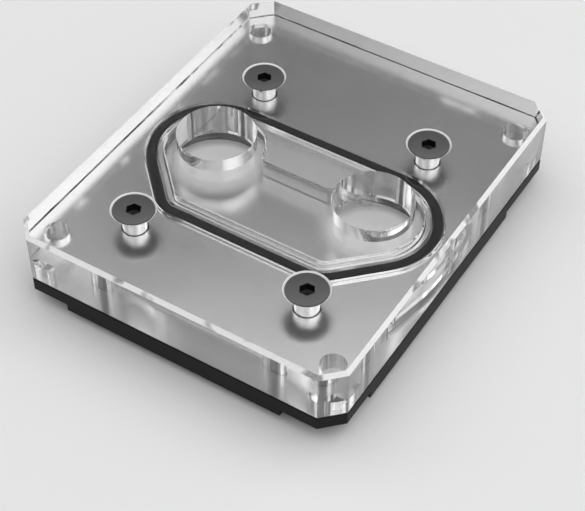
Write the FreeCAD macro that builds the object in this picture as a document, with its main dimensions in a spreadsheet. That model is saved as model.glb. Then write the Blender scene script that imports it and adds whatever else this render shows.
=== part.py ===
import FreeCAD, Part
import math
import os
import Sketcher
from FreeCAD import Placement, Rotation, Vector

# Chipset water block: a clear acrylic cover over a plated metal cold plate, sealed by
# one O-ring and held by four countersunk screws. Millimetres, +Z up. The origin is the
# centre of the block's outline, on the underside of the contact pad. +X runs along the
# short side, through both ports, and +Y towards the side behind the ports.

doc = FreeCAD.newDocument("chipset_water_block")

# Driving dimensions: alias, value, what it is
DIMENSIONS = [
    ("block_width", 52.2, "outline along X"),
    ("block_depth", 62.7, "outline along Y"),
    ("corner_cut", 2.9, "leg of the 45 degree cut on each upright corner"),
    ("cover_height", 8.2, "thickness of the acrylic"),
    ("top_bevel", 0.55, "45 degree bevel round the top face"),
    ("edge_break", 0.2, "small bevel on the lower edges of the acrylic"),
    ("plate_height", 3.2, "thickness of the cold plate at the outline"),
    ("plate_break", 0.2, "small bevel on the upper edges of the cold plate"),
    ("relief_height", 1.1, "how much thinner the cold plate is at its corners"),
    ("relief_half_width", 17.5, "from the centre line to the corner reliefs along X"),
    ("relief_half_depth", 20.0, "from the seal's centre to the corner reliefs along Y"),
    ("pad_height", 1.5, "contact pad below the cold plate"),
    ("pad_side", 26.0, "side of the square contact pad"),
    ("pad_corner", 1.5, "corner radius of the contact pad"),
    ("port_spacing", 26.3, "between the two port axes"),
    ("port_diameter", 11.8, "core diameter of a G 1/4 port"),
    ("chamber_height", 3.0, "depth of the flow chamber milled into the cover"),
    ("chamber_bevel", 0.15, "cutter's corner between the chamber's walls and ceiling"),
    ("seal_back", 9.05, "Y of the seal's centre line behind the ports"),
    ("seal_front", 13.95, "distance of the seal's front run from the port line"),
    ("seal_end_radius", 9.45, "seal centre line round each port"),
    ("seal_corner_radius", 4.0, "seal centre line at its two front corners"),
    ("seal_width", 1.45, "squeezed O-ring across"),
    ("seal_height", 1.3, "squeezed O-ring, as deep as its groove"),
    ("seal_bulge", 0.25, "how far each side of the squeezed O-ring stands out"),
    ("groove_width", 1.9, "O-ring groove across"),
    ("wet_break", 0.15, "small bevel on the lower edges of the chamber and the groove"),
    ("chamber_inset", 1.85, "seal centre line to the chamber wall"),
    ("island_radius", 7.2, "island flank round each port"),
    ("island_front", 0.6, "Y of the island's front wall"),
    ("island_corner", 1.2, "radius at the island's two front corners"),
    ("screw_spacing_across", 28.2, "cover screws along X"),
    ("screw_spacing_along", 33.4, "cover screws along Y"),
    ("screw_centre", -2.4, "Y of the cover screw pattern's centre"),
    ("screw_diameter", 3.0, "M3 thread"),
    ("screw_length", 10.0, "overall, head included"),
    ("head_diameter", 6.0, "countersunk head"),
    ("head_rim", 0.25, "straight rim of the countersunk head"),
    ("head_drop", 0.05, "head below the top face"),
    ("socket_flats", 2.0, "hexagon socket across flats"),
    ("socket_depth", 1.2, "hexagon socket"),
    ("screw_clearance", 3.6, "hole for the screw through the cover"),
    ("mount_spacing_across", 44.8, "corner threads along X"),
    ("mount_spacing_along", 52.2, "corner threads along Y"),
    ("mount_diameter", 2.5, "core of an M3 thread"),
    ("mount_thread_depth", 1.6, "blind thread, from the relieved corner up"),
    ("pocket_diameter", 3.7, "blind pocket in the cover over each corner thread"),
    ("pocket_depth", 1.6, "corner pocket, from the cover's underside up"),
]

sheet = doc.addObject("Spreadsheet::Sheet", "dims")
for row, (alias, value, meaning) in enumerate(DIMENSIONS, start=1):
    sheet.set("A%d" % row, alias)
    sheet.set("B%d" % row, str(value))
    sheet.set("C%d" % row, meaning)
    sheet.setAlias("B%d" % row, alias)
doc.recompute()


def size(alias):
    """A driving dimension's value, in millimetres."""
    return float(sheet.get(alias))


def new_body(name, height=None):
    """An empty body, stood at a height given as an expression."""
    body = doc.addObject("PartDesign::Body", name)
    body.Label = name
    if height:
        body.setExpression("Placement.Base.z", height)
    return body


def new_sketch(body, name, height=None):
    """A sketch on the body's XY plane, lifted by an expression."""
    plane = next(f for f in body.Origin.OriginFeatures if f.Role == "XY_Plane")
    sketch = body.newObject("Sketcher::SketchObject", name)
    sketch.AttachmentSupport = [(plane, "")]
    sketch.MapMode = "FlatFace"
    if height:
        sketch.setExpression("AttachmentOffset.Base.z", height)
    return sketch


def bind(sketch, constraint, expression):
    """Adds a dimensional constraint and ties it to the sheet."""
    index = sketch.addConstraint(constraint)
    sketch.setExpression("Constraints[%d]" % index, expression)


def line(start, end):
    return Part.LineSegment(Vector(start[0], start[1], 0), Vector(end[0], end[1], 0))


def arc(centre, radius, first, last):
    """An arc from the first angle to the last, in degrees, anticlockwise."""
    circle = Part.Circle(Vector(centre[0], centre[1], 0), Vector(0, 0, 1), radius)
    return Part.ArcOfCircle(circle, math.radians(first), math.radians(last))


def add_rectangle(sketch, centre, sides, centre_bind, side_bind):
    """A rectangle whose centre and sides are tied to expressions."""
    half_x, half_y = sides[0] / 2, sides[1] / 2
    corners = [(centre[0] - half_x, centre[1] - half_y), (centre[0] + half_x, centre[1] - half_y),
               (centre[0] + half_x, centre[1] + half_y), (centre[0] - half_x, centre[1] + half_y)]
    first = sketch.GeometryCount
    for i in range(4):
        sketch.addGeometry(line(corners[i], corners[(i + 1) % 4]), False)
    for i in range(4):
        sketch.addConstraint(Sketcher.Constraint("Coincident", first + i, 2, first + (i + 1) % 4, 1))
    for i in (0, 2):
        sketch.addConstraint(Sketcher.Constraint("Horizontal", first + i))
        sketch.addConstraint(Sketcher.Constraint("Vertical", first + i + 1))
    bind(sketch, Sketcher.Constraint("DistanceX", first, 1, first, 2, sides[0]), side_bind[0])
    bind(sketch, Sketcher.Constraint("DistanceY", first + 1, 1, first + 1, 2, sides[1]), side_bind[1])
    corner = corners[0]
    bind(sketch, Sketcher.Constraint("DistanceX", -1, 1, first, 1, corner[0]),
         "%s - (%s) / 2" % (centre_bind[0], side_bind[0]))
    bind(sketch, Sketcher.Constraint("DistanceY", -1, 1, first, 1, corner[1]),
         "%s - (%s) / 2" % (centre_bind[1], side_bind[1]))


def add_circles(sketch, centres, diameter):
    """Equal circles: each centre is a pair of expressions, the diameter an alias."""
    for across, along in centres:
        x, y = evaluate(across), evaluate(along)
        circle = Part.Circle(Vector(x, y, 0), Vector(0, 0, 1), size(diameter) / 2)
        index = sketch.addGeometry(circle, False)
        bind(sketch, Sketcher.Constraint("Diameter", index, size(diameter)), "dims." + diameter)
        bind(sketch, Sketcher.Constraint("DistanceX", -1, 1, index, 3, x), across)
        bind(sketch, Sketcher.Constraint("DistanceY", -1, 1, index, 3, y), along)


def evaluate(expression):
    """The number that a sheet expression stands for now."""
    return float(sheet.evalExpression(expression))


def four_places(across, along, centre):
    """Expressions for the corners of a rectangular pattern."""
    places = []
    for sign_x, sign_y in ((-1, -1), (1, -1), (1, 1), (-1, 1)):
        places.append(("%d * %s / 2" % (sign_x, across), "%s + %d * %s / 2" % (centre, sign_y, along)))
    return places


SCREW_PLACES = four_places("dims.screw_spacing_across", "dims.screw_spacing_along", "dims.screw_centre")
MOUNT_PLACES = four_places("dims.mount_spacing_across", "dims.mount_spacing_along", "0")


def join_smoothly(sketch, elements):
    """Joins each element's end to the next one's start, with no kink."""
    for one, following in zip(elements, elements[1:]):
        sketch.addConstraint(Sketcher.Constraint("Tangent", one, 2, following, 1))


def seal_values(inset):
    """Plan values of the seal's line moved inwards by an inset."""
    values = {
        "centre_x": size("port_spacing") / 2,
        "centre_y": size("seal_back") - size("seal_end_radius"),
        "end": size("seal_end_radius") - inset,
        "corner": size("seal_corner_radius") - inset,
        "front": -size("seal_front") + inset,
    }
    values["back"] = values["centre_y"] + values["end"]
    diagonal = math.sqrt(0.5)
    # The slanted run touches the end arc at 45 degrees below the port line
    values["slant_x"] = values["centre_x"] + values["end"] * diagonal
    values["slant_y"] = values["centre_y"] - values["end"] * diagonal
    values["corner_y"] = values["front"] + values["corner"]
    # The corner arc's centre lies on the slanted run moved inwards by the corner radius
    offset = (values["end"] - values["corner"]) / diagonal
    values["corner_x"] = values["centre_x"] + offset - (values["centre_y"] - values["corner_y"])
    return values


def add_seal_line(sketch, inset, inset_text, with_back=True):
    """The seal's line moved inwards, anticlockwise from the left end arc; returns its first element."""
    v = seal_values(inset)
    cx, cy, diagonal = v["centre_x"], v["centre_y"], math.sqrt(0.5)
    first = sketch.GeometryCount
    foot_x = v["corner_x"] + v["corner"] * diagonal
    foot_y = v["corner_y"] - v["corner"] * diagonal
    sketch.addGeometry(arc((-cx, cy), v["end"], 90, 225), False)
    sketch.addGeometry(line((-v["slant_x"], v["slant_y"]), (-foot_x, foot_y)), False)
    sketch.addGeometry(arc((-v["corner_x"], v["corner_y"]), v["corner"], 225, 270), False)
    sketch.addGeometry(line((-v["corner_x"], v["front"]), (v["corner_x"], v["front"])), False)
    sketch.addGeometry(arc((v["corner_x"], v["corner_y"]), v["corner"], 270, 315), False)
    sketch.addGeometry(line((foot_x, foot_y), (v["slant_x"], v["slant_y"])), False)
    sketch.addGeometry(arc((cx, cy), v["end"], -45, 90), False)
    join_smoothly(sketch, range(first, first + 7))
    if with_back:
        back = sketch.addGeometry(line((cx, v["back"]), (-cx, v["back"])), False)
        join_smoothly(sketch, (first + 6, back, first))
        sketch.addConstraint(Sketcher.Constraint("Horizontal", back))
    sketch.addConstraint(Sketcher.Constraint("Horizontal", first + 3))
    for index, sign in ((first, -1), (first + 6, 1)):
        bind(sketch, Sketcher.Constraint("Radius", index, v["end"]), "dims.seal_end_radius - " + inset_text)
        bind(sketch, Sketcher.Constraint("DistanceX", -1, 1, index, 3, sign * cx),
             "%d * dims.port_spacing / 2" % sign)
    for index in (first + 2, first + 4):
        bind(sketch, Sketcher.Constraint("Radius", index, v["corner"]),
             "dims.seal_corner_radius - " + inset_text)
    bind(sketch, Sketcher.Constraint("DistanceY", -1, 1, first, 3, cy),
         "dims.seal_back - dims.seal_end_radius")
    if not with_back:
        bind(sketch, Sketcher.Constraint("DistanceY", -1, 1, first + 6, 3, cy),
             "dims.seal_back - dims.seal_end_radius")
    bind(sketch, Sketcher.Constraint("DistanceY", -1, 1, first + 3, 1, v["front"]),
         "%s - dims.seal_front" % inset_text)
    sketch.addConstraint(Sketcher.Constraint("Angle", -1, 1, first + 5, 1, math.radians(45)))
    sketch.addConstraint(Sketcher.Constraint("Perpendicular", first + 1, first + 5))
    return first


def pad(body, sketch, name, length, reverse=False):
    feature = body.newObject("PartDesign::Pad", name)
    feature.Profile = sketch
    feature.setExpression("Length", length)
    feature.Reversed = reverse
    doc.recompute()
    return feature


def pocket(body, sketch, name, length, upward):
    """Cuts a sketch's outline and checks that something was cut."""
    before = body.Shape.Volume
    feature = body.newObject("PartDesign::Pocket", name)
    feature.Profile = sketch
    feature.Reversed = upward
    feature.setExpression("Length", length)
    doc.recompute()
    if not body.Shape.Volume < before - 1e-6:
        raise RuntimeError(name + " cut nothing")
    return feature


def edges_where(shape, test):
    """Names of the edges that pass a test on their centre and bounding box."""
    return ["Edge%d" % (i + 1) for i, edge in enumerate(shape.Edges) if test(edge)]


def bevel(body, base, edges, name, leg):
    feature = body.newObject("PartDesign::Chamfer", name)
    feature.Base = (base, edges)
    feature.setExpression("Size", leg)
    doc.recompute()
    return feature


def fillet(body, base, edges, name, radius):
    feature = body.newObject("PartDesign::Fillet", name)
    feature.Base = (base, edges)
    feature.setExpression("Radius", radius)
    doc.recompute()
    return feature


def is_upright(edge):
    box = edge.BoundBox
    return box.XLength < 1e-6 and box.YLength < 1e-6


def lies_at(height):
    """A test for edges that lie level at a height."""
    def test(edge):
        box = edge.BoundBox
        return abs(box.ZMin - height) < 1e-6 and abs(box.ZMax - height) < 1e-6
    return test


def block_outline(body, name, height):
    """A prism with the block's outline and its four cut corners."""
    sketch = new_sketch(body, name + "_outline")
    add_rectangle(sketch, (0, 0), (size("block_width"), size("block_depth")), ("0", "0"),
                  ("dims.block_width", "dims.block_depth"))
    slab = pad(body, sketch, name + "_slab", height)
    return bevel(body, slab, edges_where(slab.Shape, is_upright), name + "_corners", "dims.corner_cut")


def make_cover():
    """Clear cover: ports, flow chamber with its island, seal groove, screw holes, corner pockets."""
    body = new_body("cover", "dims.pad_height + dims.plate_height")
    block = block_outline(body, "cover", "dims.cover_height")
    top = bevel(body, block, edges_where(block.Shape, lies_at(size("cover_height"))), "cover_top_bevel",
                "dims.top_bevel")
    bevel(body, top, edges_where(top.Shape, lies_at(0)), "cover_edge_break", "dims.edge_break")

    chamber = new_sketch(body, "chamber_outline")
    add_chamber(chamber)
    cut = pocket(body, chamber, "chamber", "dims.chamber_height", True)
    ceiling = lies_at(size("chamber_height"))
    bevel(body, cut, edges_where(cut.Shape, ceiling), "chamber_cutter_corner", "dims.chamber_bevel")

    groove = new_sketch(body, "groove_outline")
    add_seal_line(groove, -size("groove_width") / 2, "(-dims.groove_width / 2)")
    add_seal_line(groove, size("groove_width") / 2, "dims.groove_width / 2")
    cut = pocket(body, groove, "seal_groove", "dims.seal_height", True)
    bevel(body, cut, edges_where(cut.Shape, is_wet_edge), "wet_edge_break", "dims.wet_break")

    ports = new_sketch(body, "port_circles", "dims.cover_height")
    centres = [("%d * dims.port_spacing / 2" % sign, "0") for sign in (-1, 1)]
    add_circles(ports, centres, "port_diameter")
    pocket(body, ports, "ports", "dims.cover_height - dims.chamber_height", False)

    corner_pockets = new_sketch(body, "corner_pocket_circles")
    add_circles(corner_pockets, MOUNT_PLACES, "pocket_diameter")
    pocket(body, corner_pockets, "corner_pockets", "dims.pocket_depth", True)

    screw_holes = new_sketch(body, "screw_hole_circles", "dims.cover_height")
    add_circles(screw_holes, SCREW_PLACES, "screw_clearance")
    holes = pocket(body, screw_holes, "screw_holes", "dims.cover_height", False)
    rims = edges_where(holes.Shape, lambda edge: is_screw_rim(edge))
    head_seat = "(dims.head_diameter - dims.screw_clearance) / 2 + dims.head_rim + dims.head_drop"
    bevel(body, holes, rims, "countersinks", head_seat)
    return body


def is_wet_edge(edge):
    """The lower edges of the chamber and of the seal groove."""
    box = edge.BoundBox
    margin = size("groove_width")
    inside = box.YMin > -size("seal_front") - margin and box.YMax < size("seal_back") + margin
    return inside and lies_at(0)(edge)


def is_screw_rim(edge):
    """The top rim of a screw's clearance hole."""
    if not lies_at(size("cover_height"))(edge) or not hasattr(edge.Curve, "Radius"):
        return False
    return abs(edge.Curve.Radius - size("screw_clearance") / 2) < 1e-6


def add_chamber(sketch):
    """The chamber: inside the seal all round, with the island let in from behind between the ports."""
    inset = size("chamber_inset")
    first = add_seal_line(sketch, inset, "dims.chamber_inset", with_back=False)
    last = first + 6
    flank, corner, front = size("island_radius"), size("island_corner"), size("island_front")
    cx, flank_y = size("port_spacing") / 2, size("seal_back") - inset - flank
    # The corner arc inside the island touches the flank and the front wall
    corner_y = front + corner
    reach = flank + corner
    corner_x = cx - math.sqrt(reach ** 2 - (corner_y - flank_y) ** 2)
    angle = math.degrees(math.atan2(corner_y - flank_y, corner_x - cx))
    right = sketch.addGeometry(arc((cx, flank_y), flank, 90, angle), False)
    corner_right = sketch.addGeometry(arc((corner_x, corner_y), corner, 270, angle + 180), False)
    wall = sketch.addGeometry(line((corner_x, front), (-corner_x, front)), False)
    corner_left = sketch.addGeometry(arc((-corner_x, corner_y), corner, 360 - angle, 270), False)
    left = sketch.addGeometry(arc((-cx, flank_y), flank, 180 - angle, 90), False)
    for one, one_end, other, other_end in ((last, 2, right, 1), (right, 2, corner_right, 2),
                                           (corner_right, 1, wall, 1), (wall, 2, corner_left, 2),
                                           (corner_left, 1, left, 1), (left, 2, first, 1)):
        sketch.addConstraint(Sketcher.Constraint("Tangent", one, one_end, other, other_end))
    sketch.addConstraint(Sketcher.Constraint("Horizontal", wall))
    for index, sign in ((left, -1), (right, 1)):
        bind(sketch, Sketcher.Constraint("Radius", index, flank), "dims.island_radius")
        bind(sketch, Sketcher.Constraint("DistanceX", -1, 1, index, 3, sign * cx),
             "%d * dims.port_spacing / 2" % sign)
    for index in (corner_left, corner_right):
        bind(sketch, Sketcher.Constraint("Radius", index, corner), "dims.island_corner")
    bind(sketch, Sketcher.Constraint("DistanceY", -1, 1, wall, 1, front), "dims.island_front")


def make_cold_plate():
    """Cold plate with a contact pad below, relieved corners, cover threads and corner threads."""
    body = new_body("cold_plate", "dims.pad_height")
    block = block_outline(body, "plate", "dims.plate_height")
    bevel(body, block, edges_where(block.Shape, lies_at(size("plate_height"))), "plate_edge_break",
          "dims.plate_break")

    reliefs = new_sketch(body, "relief_outlines")
    for sign_x in (-1, 1):
        for sign_y in (-1, 1):
            edge_y = "(dims.block_depth / 2 - %d * dims.screw_centre - dims.relief_half_depth)" % sign_y
            side_x = "(dims.block_width / 2 - dims.relief_half_width)"
            place_x = "%d * (dims.block_width / 2 - %s / 2)" % (sign_x, side_x)
            place_y = "%d * (dims.block_depth / 2 - %s / 2)" % (sign_y, edge_y)
            add_rectangle(reliefs, (evaluate(place_x), evaluate(place_y)), (evaluate(side_x), evaluate(edge_y)),
                          (place_x, place_y), (side_x, edge_y))
    pocket(body, reliefs, "corner_reliefs", "dims.relief_height", True)

    contact = new_sketch(body, "contact_outline")
    add_rectangle(contact, (0, size("screw_centre")), (size("pad_side"), size("pad_side")),
                  ("0", "dims.screw_centre"), ("dims.pad_side", "dims.pad_side"))
    raised = pad(body, contact, "contact_pad", "dims.pad_height", reverse=True)
    half_side = size("pad_side") / 2
    corners = edges_where(raised.Shape, lambda edge: is_upright(edge) and edge.BoundBox.ZMax < 1e-6
                          and abs(abs(edge.BoundBox.XMin) - half_side) < 1e-6)
    fillet(body, raised, corners, "contact_corners", "dims.pad_corner")

    threads = new_sketch(body, "cover_thread_circles", "dims.plate_height")
    add_circles(threads, SCREW_PLACES, "screw_diameter")
    pocket(body, threads, "cover_threads", "dims.plate_height", False)

    mounts = new_sketch(body, "mount_thread_circles", "dims.relief_height")
    add_circles(mounts, MOUNT_PLACES, "mount_diameter")
    pocket(body, mounts, "mount_threads", "dims.mount_thread_depth", True)
    return body


def make_seal_ring():
    """O-ring as squeezed in its groove: flat above and below, with bulged sides."""
    body = new_body("seal_ring", "dims.pad_height + dims.plate_height")
    path = new_sketch(body, "ring_path")
    add_seal_line(path, 0, "0")

    plane = next(f for f in body.Origin.OriginFeatures if f.Role == "YZ_Plane")
    section = body.newObject("Sketcher::SketchObject", "ring_section")
    section.AttachmentSupport = [(plane, "")]
    section.MapMode = "FlatFace"
    front, height, bulge = -size("seal_front"), size("seal_height"), size("seal_bulge")
    flat = size("seal_width") / 2 - bulge
    # The side's arc passes both edges of the flats and stands out by the bulge
    radius = (height ** 2 / 4 + bulge ** 2) / (2 * bulge)
    reach = math.degrees(math.asin(height / 2 / radius))
    inwards = flat + bulge - radius
    section.addGeometry(line((front - flat, 0), (front + flat, 0)), False)
    section.addGeometry(arc((front + inwards, height / 2), radius, -reach, reach), False)
    section.addGeometry(line((front + flat, height), (front - flat, height)), False)
    section.addGeometry(arc((front - inwards, height / 2), radius, 180 - reach, 180 + reach), False)
    for one in range(4):
        section.addConstraint(Sketcher.Constraint("Coincident", one, 2, (one + 1) % 4, 1))
    section.addConstraint(Sketcher.Constraint("Horizontal", 0))
    section.addConstraint(Sketcher.Constraint("Horizontal", 2))
    section.addConstraint(Sketcher.Constraint("PointOnObject", 0, 1, -1))
    section.addConstraint(Sketcher.Constraint("Equal", 0, 2))
    section.addConstraint(Sketcher.Constraint("Vertical", 0, 2, 2, 1))
    bind(section, Sketcher.Constraint("DistanceX", -1, 1, 0, 1, front - flat),
         "dims.seal_bulge - dims.seal_front - dims.seal_width / 2")
    bind(section, Sketcher.Constraint("DistanceX", 0, 1, 0, 2, 2 * flat),
         "dims.seal_width - 2 * dims.seal_bulge")
    bind(section, Sketcher.Constraint("DistanceY", 0, 2, 2, 1, height), "dims.seal_height")
    for side in (1, 3):
        bind(section, Sketcher.Constraint("Radius", side, radius),
             "(dims.seal_height ^ 2 / 4 + dims.seal_bulge ^ 2) / (2 * dims.seal_bulge)")
    doc.recompute()

    ring = body.newObject("PartDesign::AdditivePipe", "ring")
    ring.Profile = section
    ring.Spine = path
    doc.recompute()
    return body


def make_screw():
    """One countersunk hexagon socket screw, its head's top at the origin."""
    body = doc.addObject("PartDesign::Body", "screw_pattern_piece")
    plane = next(f for f in body.Origin.OriginFeatures if f.Role == "XZ_Plane")
    profile = body.newObject("Sketcher::SketchObject", "screw_profile")
    profile.AttachmentSupport = [(plane, "")]
    profile.MapMode = "FlatFace"
    head, shank, rim = size("head_diameter") / 2, size("screw_diameter") / 2, size("head_rim")
    length, tip = size("screw_length"), size("screw_diameter") / 10
    cone_foot = rim + head - shank
    points = [(0, 0), (head, 0), (head, -rim), (shank, -cone_foot), (shank, tip - length),
              (shank - tip, -length), (0, -length)]
    for i in range(len(points)):
        profile.addGeometry(line(points[i], points[(i + 1) % len(points)]), False)
    for i in range(len(points)):
        profile.addConstraint(Sketcher.Constraint("Coincident", i, 2, (i + 1) % len(points), 1))
    profile.addConstraint(Sketcher.Constraint("Coincident", 0, 1, -1, 1))
    for i in (0, 5):
        profile.addConstraint(Sketcher.Constraint("Horizontal", i))
    for i in (1, 3, 6):
        profile.addConstraint(Sketcher.Constraint("Vertical", i))
    bind(profile, Sketcher.Constraint("DistanceX", 0, 1, 0, 2, head), "dims.head_diameter / 2")
    bind(profile, Sketcher.Constraint("DistanceY", 1, 2, 1, 1, rim), "dims.head_rim")
    bind(profile, Sketcher.Constraint("DistanceX", -1, 1, 3, 1, shank), "dims.screw_diameter / 2")
    bind(profile, Sketcher.Constraint("DistanceY", 2, 2, 2, 1, head - shank),
         "(dims.head_diameter - dims.screw_diameter) / 2")
    bind(profile, Sketcher.Constraint("DistanceY", 6, 1, 6, 2, length), "dims.screw_length")
    bind(profile, Sketcher.Constraint("DistanceX", 4, 2, 4, 1, tip), "dims.screw_diameter / 10")
    bind(profile, Sketcher.Constraint("DistanceY", 4, 2, 4, 1, tip), "dims.screw_diameter / 10")
    turned = body.newObject("PartDesign::Revolution", "screw_turned")
    turned.Profile = profile
    turned.ReferenceAxis = (profile, ["V_Axis"])
    turned.Angle = 360
    doc.recompute()

    socket = new_sketch(body, "socket_hexagon")
    radius = size("socket_flats") / math.sqrt(3)
    corners = [(radius * math.cos(math.radians(60 * i)), radius * math.sin(math.radians(60 * i)))
               for i in range(6)]
    for i in range(6):
        socket.addGeometry(line(corners[i], corners[(i + 1) % 6]), False)
    circle = socket.addGeometry(Part.Circle(Vector(0, 0, 0), Vector(0, 0, 1), radius), True)
    for i in range(6):
        socket.addConstraint(Sketcher.Constraint("Coincident", i, 2, (i + 1) % 6, 1))
        socket.addConstraint(Sketcher.Constraint("PointOnObject", i, 1, circle))
    for i in range(1, 6):
        socket.addConstraint(Sketcher.Constraint("Equal", 0, i))
    socket.addConstraint(Sketcher.Constraint("Coincident", circle, 3, -1, 1))
    socket.addConstraint(Sketcher.Constraint("Horizontal", 1))
    bind(socket, Sketcher.Constraint("Radius", circle, radius), "dims.socket_flats / sqrt(3)")
    pocket(body, socket, "socket", "dims.socket_depth", False)
    return body


def make_cover_screws():
    """The four cover screws, each a solid of its own, in one group."""
    screw = make_screw()
    copies = []
    for index, (across, along) in enumerate(SCREW_PLACES, start=1):
        copy = doc.addObject("App::Link", "cover_screw_%d" % index)
        copy.LinkedObject = screw
        copy.LinkTransform = True
        copy.setExpression("Placement.Base.x", across)
        copy.setExpression("Placement.Base.y", along)
        copy.setExpression("Placement.Base.z",
                           "dims.pad_height + dims.plate_height + dims.cover_height - dims.head_drop")
        copies.append(copy)
    group = doc.addObject("Part::Compound", "cover_screws")
    group.Label = "cover_screws"
    group.Links = copies
    group.Placement = Placement(Vector(0, 0, 0), Rotation())
    return group


parts = [make_cover(), make_cold_plate(), make_seal_ring(), make_cover_screws()]
doc.recompute()

for item in doc.Objects:
    if "Invalid" in item.State or "Error" in item.State:
        raise RuntimeError("%s failed: %s" % (item.Name, item.State))

os.makedirs("parts", exist_ok=True)
for part in parts:
    shape = part.Shape
    if shape.isNull() or not shape.isValid():
        raise RuntimeError(part.Label + " has no valid shape")
    shape.exportStep("parts/%s.step" % part.Label)
    box = shape.BoundBox
    print("%s: %d solid(s), %.1f mm3, z %.2f to %.2f" % (part.Label, len(shape.Solids), shape.Volume,
                                                         box.ZMin, box.ZMax))
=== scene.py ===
"""Looks of a chipset water block: polished clear cover, satin plated cold plate, black seal, dark screws."""
import math

import bmesh
import bpy
from mathutils import Matrix, Vector


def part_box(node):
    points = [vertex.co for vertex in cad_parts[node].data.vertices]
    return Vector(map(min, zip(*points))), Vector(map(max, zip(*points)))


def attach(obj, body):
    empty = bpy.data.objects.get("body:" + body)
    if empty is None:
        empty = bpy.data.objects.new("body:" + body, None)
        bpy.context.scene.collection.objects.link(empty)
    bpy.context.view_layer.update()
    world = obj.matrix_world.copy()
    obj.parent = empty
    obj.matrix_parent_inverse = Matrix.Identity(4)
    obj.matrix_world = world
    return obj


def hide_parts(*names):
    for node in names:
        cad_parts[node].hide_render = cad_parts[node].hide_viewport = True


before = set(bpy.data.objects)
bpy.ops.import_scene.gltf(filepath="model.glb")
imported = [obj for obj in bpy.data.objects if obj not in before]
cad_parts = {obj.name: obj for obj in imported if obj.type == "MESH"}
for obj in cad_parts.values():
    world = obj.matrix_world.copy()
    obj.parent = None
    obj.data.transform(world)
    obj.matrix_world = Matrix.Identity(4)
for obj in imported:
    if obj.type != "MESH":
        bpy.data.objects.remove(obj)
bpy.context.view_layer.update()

MM = 0.001

# The block, read from the frame
COVER_LOW, COVER_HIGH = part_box("cover")
SEAM = COVER_LOW.z
TOP = COVER_HIGH.z
GROOVE_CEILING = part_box("seal_ring")[1].z
SCREWS_LOW, SCREWS_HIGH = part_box("cover_screws")
CAD_HEAD_RADIUS = 3.0 * MM
SCREW_REACH = (SCREWS_HIGH - SCREWS_LOW) / 2 - Vector((CAD_HEAD_RADIUS, CAD_HEAD_RADIUS, 0))
SCREW_CENTRE = (SCREWS_HIGH.y + SCREWS_LOW.y) / 2
FACE_GAP = 0.02 * MM

# Where the finishes, the painted light and the painted shade change
TOP_BEVEL = 0.6 * MM
BORE_RADIUS = 2.0 * MM
SEAT_SHADE_RADIUS = 1.95 * MM
SOCKET_SHADE_RADIUS = 1.2 * MM
SOCKET_LIP = 0.08 * MM
PORT_REACH = 13.15 * MM
PORT_LIGHT_INNER = 6.0 * MM
PORT_LIGHT_OUTER = 8.5 * MM
WET_CENTRE = -3.0 * MM
WET_HALF_WIDTH = 22 * MM
WET_HALF_DEPTH = 11 * MM
COVER_INDEX = 1.77

# M3 countersunk screw, as in the frame, with its thread
ANGLES = [math.tau * i / 48 for i in range(48)]
HEAD_RADIUS = 2.975 * MM
HEAD_RIM = 0.25 * MM
HEAD_EDGE = 0.06 * MM
CONE_RADIUS = 3.03 * MM
SHANK_RADIUS = 1.49 * MM
SOCKET_FLATS = 2.0 * MM
SOCKET_BEVEL = 0.06 * MM
SOCKET_DEPTH = 1.2 * MM
DRILL_FLATS = 1.1 * MM
DRILL_DEPTH = 0.25 * MM
THREAD_PITCH = 0.5 * MM
THREAD_HEIGHT = 0.3 * MM
CREST_SHARE = 0.125
ROOT_SHARE = 0.25
THREAD_ROWS = 10
TIP_BEVEL = 0.3 * MM
TIP_LAND = 0.05 * MM


class Value:
    """A shader socket that Python's operators work on, through Math nodes."""

    def __init__(self, finish, socket):
        self.finish = finish
        self.socket = socket

    def __add__(self, other):
        return self.finish.maths("ADD", self, other)

    def __radd__(self, other):
        return self.finish.maths("ADD", other, self)

    def __sub__(self, other):
        return self.finish.maths("SUBTRACT", self, other)

    def __rsub__(self, other):
        return self.finish.maths("SUBTRACT", other, self)

    def __mul__(self, other):
        return self.finish.maths("MULTIPLY", self, other)

    def __rmul__(self, other):
        return self.finish.maths("MULTIPLY", other, self)

    def __truediv__(self, other):
        return self.finish.maths("DIVIDE", self, other)

    def __rtruediv__(self, other):
        return self.finish.maths("DIVIDE", other, self)

    def __pow__(self, other):
        return self.finish.maths("POWER", self, other)

    def __rpow__(self, other):
        return self.finish.maths("POWER", other, self)

    def __abs__(self):
        return self.finish.maths("ABSOLUTE", self)

    def __lt__(self, other):
        return self.finish.maths("LESS_THAN", self, other)

    def __gt__(self, other):
        return self.finish.maths("GREATER_THAN", self, other)


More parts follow.
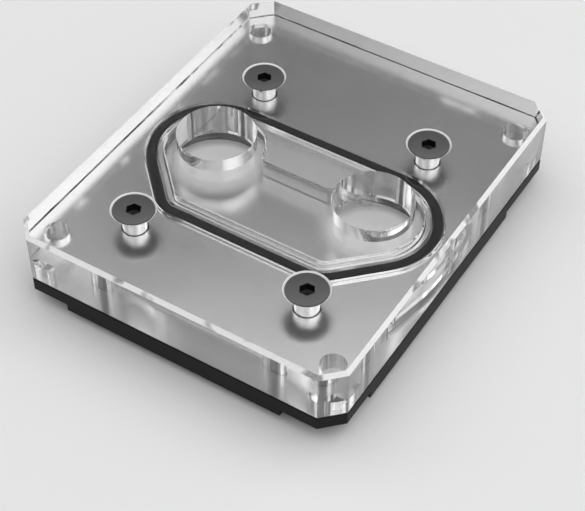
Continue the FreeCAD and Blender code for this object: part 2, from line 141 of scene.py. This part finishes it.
class Finish:
    """A material, or a world, under construction. One method adds any node."""

    def __init__(self, name, kind="materials"):
        self.owner = getattr(bpy.data, kind).new(name)
        self.owner.use_nodes = True
        self.tree = self.owner.node_tree
        self.tree.nodes.clear()

    def node(self, kind, settings, inputs, output=0):
        """Adds a node: its settings first, then its inputs' values or links."""
        node = self.tree.nodes.new("ShaderNode" + kind)
        for name, setting in settings.items():
            setattr(node, name, setting)
        for name, value in inputs.items():
            if isinstance(value, Value):
                self.tree.links.new(value.socket, node.inputs[name])
            else:
                node.inputs[name].default_value = value
        return None if output is None else Value(self, node.outputs[output])

    def maths(self, operation, first, second=0.0):
        return self.node("Math", {"operation": operation}, {0: first, 1: second})

    def place(self, axis):
        """One coordinate of the point being shaded, in metres in the object's own frame."""
        return self.part(self.node("TexCoord", {}, {}, "Object"), axis)

    def part(self, vector, axis):
        """One coordinate of a vector."""
        return self.node("SeparateXYZ", {}, {0: vector}, axis)

    def grey(self, level):
        """A grey colour from a level that changes over the surface."""
        return self.node("CombineColor", {}, {0: level, 1: level, 2: level})

    def noise(self, size, detail=2.0, roughness=0.5, stretch=(1, 1, 1)):
        """Smooth noise with blotches of a size in metres."""
        place = self.node("TexCoord", {}, {}, "Object")
        scaled = self.node("VectorMath", {"operation": "MULTIPLY"}, {0: place, 1: stretch})
        inputs = {"Vector": scaled, "Scale": 1 / size, "Detail": detail, "Roughness": roughness}
        return self.node("TexNoise", {}, inputs, "Fac")

    def step(self, value, low, high):
        """0 below low, 1 above high, straight between."""
        settings = {"interpolation_type": "LINEAR", "clamp": True}
        inputs = {"Value": value, "From Min": low, "From Max": high}
        return self.node("MapRange", settings, inputs, "Result")

    def blend(self, mask, first, second):
        """The first colour where the mask is 0, the second where it is 1."""
        return self.node("Mix", {"data_type": "RGBA"}, {0: mask, 6: first, 7: second}, 2)

    def bump(self, height, distance):
        inputs = {"Height": height, "Distance": distance, "Strength": 1.0}
        return self.node("Bump", {}, inputs, "Normal")

    def close(self, surface, output="OutputMaterial"):
        """Joins the finished shader to the output."""
        self.node(output, {}, {"Surface": surface}, None)
        return self.owner


def grey(level):
    """A plain grey in linear light."""
    return (level, level, level, 1)


def hypotenuse(across, along):
    return (across ** 2 + along ** 2) ** 0.5


def screw_distance(finish):
    """How far a point lies from the nearest cover screw's axis."""
    across = abs(finish.place("X")) - SCREW_REACH.x
    along = abs(finish.place("Y") - SCREW_CENTRE) - SCREW_REACH.y
    return hypotenuse(across, along)


def port_distance(finish):
    """How far a point lies from the nearest port's axis."""
    return hypotenuse(abs(finish.place("X")) - PORT_REACH, finish.place("Y"))


def make_clear_acrylic():
    """Polished clear acrylic, satin on its bevels and, faintly, in its screw holes."""
    finish = Finish("clear_acrylic")
    clear = finish.node("BsdfPrincipled", {}, {
        "Base Color": grey(0.985),
        "Roughness": finish.step(finish.noise(9 * MM, 3), 0.45, 0.8) * 0.03,
        "IOR": COVER_INDEX,
        "Transmission Weight": 1.0,
        "Normal": finish.bump(finish.noise(7 * MM, 1), 0.004 * MM),
    })
    satin = finish.node("BsdfPrincipled", {}, {
        "Base Color": grey(0.97),
        "Roughness": 0.5,
        "IOR": COVER_INDEX,
        "Transmission Weight": 0.03,
    })
    slope = abs(finish.part(finish.node("NewGeometry", {}, {}, "True Normal"), "Z"))
    bevels = (slope > 0.6) * (slope < 0.8) * (finish.place("Z") > TOP - TOP_BEVEL)
    bores = (screw_distance(finish) < BORE_RADIUS) * (slope < 0.3)
    marks = finish.noise(0.4 * MM, 2, 0.6, (1, 1, 4)) - 0.5
    # The outer bevel is polished clear in a few short stretches
    outward = finish.maths("MAXIMUM", abs(finish.place("X")) / COVER_HIGH.x,
                           abs(finish.place("Y")) / COVER_HIGH.y)
    gaps = 1 - finish.step(finish.noise(5 * MM, 2), 0.36, 0.42)
    mask = (bevels * (0.95 - gaps * (outward > 0.94) * 0.7 + marks * 0.3)
            + bores * (0.1 + marks * 0.4))
    return finish.close(finish.node("MixShader", {}, {0: mask, 1: clear, 2: satin}))


def make_plated_copper():
    """Satin nickel on the plate's top, with painted light below the ports, and black on its rim and sides as
    a painted reflection of dark surroundings.
    """
    finish = Finish("plated_copper")
    # Painted reflection: below the seam the plate is painted black and not metallic, standing in for the
    # dark surroundings its sides reflect
    painted_dark_rim = 1 - finish.step(finish.place("Z"), SEAM - 0.03 * MM, SEAM - 0.005 * MM)
    # Painted shade: the plate is darkened in a disc round each screw axis, out to the foot of the cover's
    # screw hole
    seat_shade = screw_distance(finish) < SEAT_SHADE_RADIUS
    # Painted light: below the ports the plate is made lighter and not metallic, standing in for light
    # falling in through the open ports
    port_light = 1 - finish.step(port_distance(finish), PORT_LIGHT_INNER, PORT_LIGHT_OUTER)
    chamber = hypotenuse(finish.place("X") / WET_HALF_WIDTH,
                         (finish.place("Y") - WET_CENTRE) / WET_HALF_DEPTH)
    wetted = 1 - finish.step(chamber, 0.75, 1.1)
    cloud = finish.noise(16 * MM, 3) - 0.5
    nickel = finish.grey(0.80 + cloud * 0.06 + port_light * 0.17 - seat_shade * 0.7)
    surface = finish.node("BsdfPrincipled", {}, {
        "Base Color": finish.blend(painted_dark_rim, nickel, grey(0.005)),
        "Metallic": (1 - port_light) * (1 - painted_dark_rim),
        "Specular IOR Level": 0.15,
        "Roughness": 0.20 + cloud * 0.04 + painted_dark_rim * 0.24 + wetted * 0.12,
        "Normal": finish.bump(finish.noise(0.12 * MM, 2, 0.6), 0.0006 * MM),
    })
    return finish.close(surface)


def make_seal_rubber():
    """Matt black rubber with a faint mould grain."""
    finish = Finish("seal_rubber")
    grain = finish.noise(0.25 * MM, 3)
    surface = finish.node("BsdfPrincipled", {}, {
        "Base Color": finish.grey(0.006 + grain * 0.008),
        "Roughness": 0.55 + (grain - 0.5) * 0.2,
        "Specular IOR Level": 0.2,
        "Normal": finish.bump(grain, 0.01 * MM),
    })
    return finish.close(surface)


def make_screw_steel():
    """Dark grey coated steel, with painted shade darkening the socket."""
    finish = Finish("screw_steel")
    # Painted shade: the steel is darkened inside the hex socket, where little light reaches
    socket = (screw_distance(finish) < SOCKET_SHADE_RADIUS) * (finish.place("Z") < SCREWS_HIGH.z - SOCKET_LIP)
    cloud = finish.noise(1.5 * MM, 3) - 0.5
    surface = finish.node("BsdfPrincipled", {}, {
        "Base Color": finish.grey(0.12 + cloud * 0.02 - socket * 0.1),
        "Metallic": 0.6,
        "Roughness": 0.5 + cloud * 0.15,
        "Normal": finish.bump(finish.noise(0.1 * MM, 2), 0.002 * MM),
    })
    return finish.close(surface)


def paint(mesh, material):
    """Gives a mesh one finish all over."""
    mesh.materials.clear()
    mesh.materials.append(material)


def link(name, mesh, material):
    """A new object in the scene, with its finish."""
    paint(mesh, material)
    piece = bpy.data.objects.new(name, mesh)
    bpy.context.scene.collection.objects.link(piece)
    return piece


def lifted_copy(node, lifts):
    """A closed copy of a CAD node's mesh, with its vertices lifted: pairs of height and lift."""
    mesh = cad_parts[node].data.copy()
    normals = [Vector(corner.vector) for corner in mesh.corner_normals]
    for vertex in mesh.vertices:
        for height, lift in lifts:
            if abs(vertex.co.z - height) < 0.001 * MM:
                vertex.co.z += lift
                break
    solid = bmesh.new()
    solid.from_mesh(mesh)
    bmesh.ops.remove_doubles(solid, verts=solid.verts, dist=0.0005 * MM)
    solid.to_mesh(mesh)
    solid.free()
    mesh.normals_split_custom_set(normals)
    return mesh


def make_cover():
    """The clear cover, a hair into the plate and clear of the ring, so that no two faces coincide."""
    mesh = lifted_copy("cover", ((SEAM, -FACE_GAP), (GROOVE_CEILING, FACE_GAP)))
    piece = link("clear_cover", mesh, make_clear_acrylic())
    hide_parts("cover")
    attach(piece, "root")


def thread_depth(turn, below_head):
    """How far the thread's flank lies below its crest, from the fraction of a turn along the pitch."""
    rise = abs(2 * (turn % 1.0) - 1)
    groove = min(1, max(0, (rise - CREST_SHARE) / (1 - ROOT_SHARE - CREST_SHARE)))
    start = min(1, max(0, below_head / THREAD_PITCH))
    return THREAD_HEIGHT * groove * start


def hexagon(flats):
    """A hexagon's radius at an angle, from its size across flats."""
    return lambda angle: flats / 2 / math.cos(angle % (math.pi / 3) - math.pi / 6)


def circle(radius):
    return lambda angle: radius


def thread(height, foot, length):
    """The thread's radius at an angle, at a height below the head's foot."""
    taper = min(1, (height + length + TIP_LAND) / TIP_BEVEL)
    tip_limit = SHANK_RADIUS - TIP_BEVEL * (1 - taper)

    def radius(angle):
        turn = height / THREAD_PITCH - angle / (2 * math.pi)
        return min(SHANK_RADIUS - thread_depth(turn, foot - height), tip_limit)
    return radius


def screw_sections(length):
    """The screw's level sections from the socket's floor out and down: radius functions and heights.

    Its cone is pressed a hair into the cover, as a tightened screw is.
    """
    foot = -HEAD_RIM - (CONE_RADIUS - SHANK_RADIUS)
    sections = [
        (hexagon(DRILL_FLATS), -SOCKET_DEPTH - DRILL_DEPTH),
        (hexagon(SOCKET_FLATS), -SOCKET_DEPTH),
        (hexagon(SOCKET_FLATS), -SOCKET_BEVEL),
        (hexagon(SOCKET_FLATS + 2 * SOCKET_BEVEL), 0),
        (circle(HEAD_RADIUS - HEAD_EDGE), 0),
        (circle(HEAD_RADIUS - HEAD_EDGE * 0.3), -HEAD_EDGE * 0.3),
        (circle(HEAD_RADIUS), -HEAD_EDGE),
        (circle(CONE_RADIUS), -HEAD_RIM),
        (circle(SHANK_RADIUS), foot),
    ]
    rows = int((length + foot) / THREAD_PITCH * THREAD_ROWS)
    for row in range(1, rows + 1):
        height = foot + (foot + length) * -row / rows
        sections.append((thread(height, foot, length), height))
    return sections


def make_screw(name, place, material):
    """A threaded countersunk screw, lofted through its sections."""
    x, y, top = place
    sections = screw_sections(top - SCREWS_LOW.z)
    points = [(x + radius(angle) * math.cos(angle), y + radius(angle) * math.sin(angle), top + height)
              for radius, height in sections for angle in ANGLES]
    count = len(ANGLES)
    faces = []
    for level in range(len(sections) - 1):
        for i in range(count):
            a, b = level * count + i, level * count + (i + 1) % count
            faces.append((a, a + count, b + count, b))
    faces.append(tuple(reversed(range(count))))
    faces.append(tuple(range(len(points) - count, len(points))))
    mesh = bpy.data.meshes.new(name)
    mesh.from_pydata(points, [], faces)
    solid = bmesh.new()
    solid.from_mesh(mesh)
    bmesh.ops.recalc_face_normals(solid, faces=solid.faces)
    solid.to_mesh(mesh)
    solid.free()
    mesh.shade_smooth()
    mesh.set_sharp_from_angle(angle=math.radians(28))
    piece = link(name, mesh, material)
    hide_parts("cover_screws")
    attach(piece, "root")


def make_screws():
    material = make_screw_steel()
    places = [(sign_x * SCREW_REACH.x, SCREW_CENTRE + sign_y * SCREW_REACH.y)
              for sign_y in (-1, 1) for sign_x in (-1, 1)]
    for number, (x, y) in enumerate(places, start=1):
        make_screw("cover_screw_%d" % number, (x, y, SCREWS_HIGH.z), material)


make_cover()
paint(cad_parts["cold_plate"].data, make_plated_copper())
paint(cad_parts["seal_ring"].data, make_seal_rubber())
make_screws()


# Studio
def make_floor_paint():
    """Pale matt paint."""
    finish = Finish("floor_paint")
    return finish.close(finish.node("BsdfDiffuse", {}, {"Color": grey(0.86)}))


def make_floor():
    reach = 1.2
    mesh = bpy.data.meshes.new("floor")
    corners = [(-reach, -reach, 0), (reach, -reach, 0), (reach, reach, 0), (-reach, reach, 0)]
    mesh.from_pydata(corners, [], [(0, 1, 2, 3)])
    link("floor", mesh, make_floor_paint())


def make_softbox(name, azimuth, elevation, distance, sides, level):
    """A softbox that faces the block: azimuth 0 is +Y, 90 is +X, and the level is its radiance."""
    light = bpy.data.lights.new(name, "AREA")
    light.shape = "RECTANGLE"
    light.size, light.size_y = sides
    light.energy = level * math.pi * sides[0] * sides[1]
    lamp = bpy.data.objects.new(name, light)
    turn, rise = math.radians(azimuth), math.radians(elevation)
    away = Vector((math.sin(turn) * math.cos(rise), math.cos(turn) * math.cos(rise), math.sin(rise)))
    lamp.location = away * distance
    lamp.rotation_mode = "QUATERNION"
    lamp.rotation_quaternion = away.to_track_quat("Z", "Y")
    bpy.context.scene.collection.objects.link(lamp)


def make_world():
    """A pale room, darker overhead."""
    finish = Finish("studio", "worlds")
    rise = finish.part(finish.node("TexCoord", {}, {}, "Generated"), "Z")
    colour = finish.grey(0.14 + 0.56 * (1 - finish.step(rise, 0.10, 0.35)))
    background = finish.node("Background", {}, {"Color": colour, "Strength": 1.0})
    bpy.context.scene.world = finish.close(background, "OutputWorld")


def make_camera():
    """The photograph's camera, as fitted to the block's edges."""
    azimuth, elevation, roll = math.radians(31.95), math.radians(46.40), math.radians(0.13)
    distance, aside, below = 221.3 * MM, -0.11 * MM, -12.76 * MM
    back = Vector((math.sin(azimuth) * math.cos(elevation), -math.cos(azimuth) * math.cos(elevation),
                   math.sin(elevation)))
    level_right = Vector((math.cos(azimuth), math.sin(azimuth), 0))
    level_up = back.cross(level_right)
    right = level_right * math.cos(roll) + level_up * math.sin(roll)
    up = level_up * math.cos(roll) - level_right * math.sin(roll)
    camera_data = bpy.data.cameras.new("camera")
    camera_data.lens = 95.88
    camera_data.sensor_width = 36
    camera_data.clip_start = 0.01
    camera = bpy.data.objects.new("camera", camera_data)
    turn = Matrix((right, up, back)).transposed().to_4x4()
    place = Vector((0, 0, TOP)) + right * aside + up * below + back * distance
    camera.matrix_world = Matrix.Translation(place) @ turn
    bpy.context.scene.collection.objects.link(camera)
    bpy.context.scene.camera = camera


make_floor()
make_world()
make_softbox("overhead_softbox", 148, 84, 0.6, (1.1, 1.1), 0.92)
make_softbox("back_left_softbox", 328, 67, 0.5, (0.9, 0.16), 0.7)
make_softbox("back_right_softbox", 42, 38, 0.6, (0.5, 0.4), 0.9)
make_softbox("front_left_softbox", 210, 42, 0.6, (0.4, 0.4), 0.12)
make_softbox("left_softbox", 265, 32, 0.6, (0.5, 0.4), 0.65)
make_softbox("right_softbox", 100, 32, 0.6, (0.5, 0.4), 0.8)
make_camera()
bpy.context.scene.view_settings.view_transform = "Standard"
# Light turns many corners inside the cover before it comes out
bpy.context.scene.cycles.max_bounces = 32
bpy.context.scene.cycles.glossy_bounces = 24
bpy.context.scene.cycles.transmission_bounces = 24
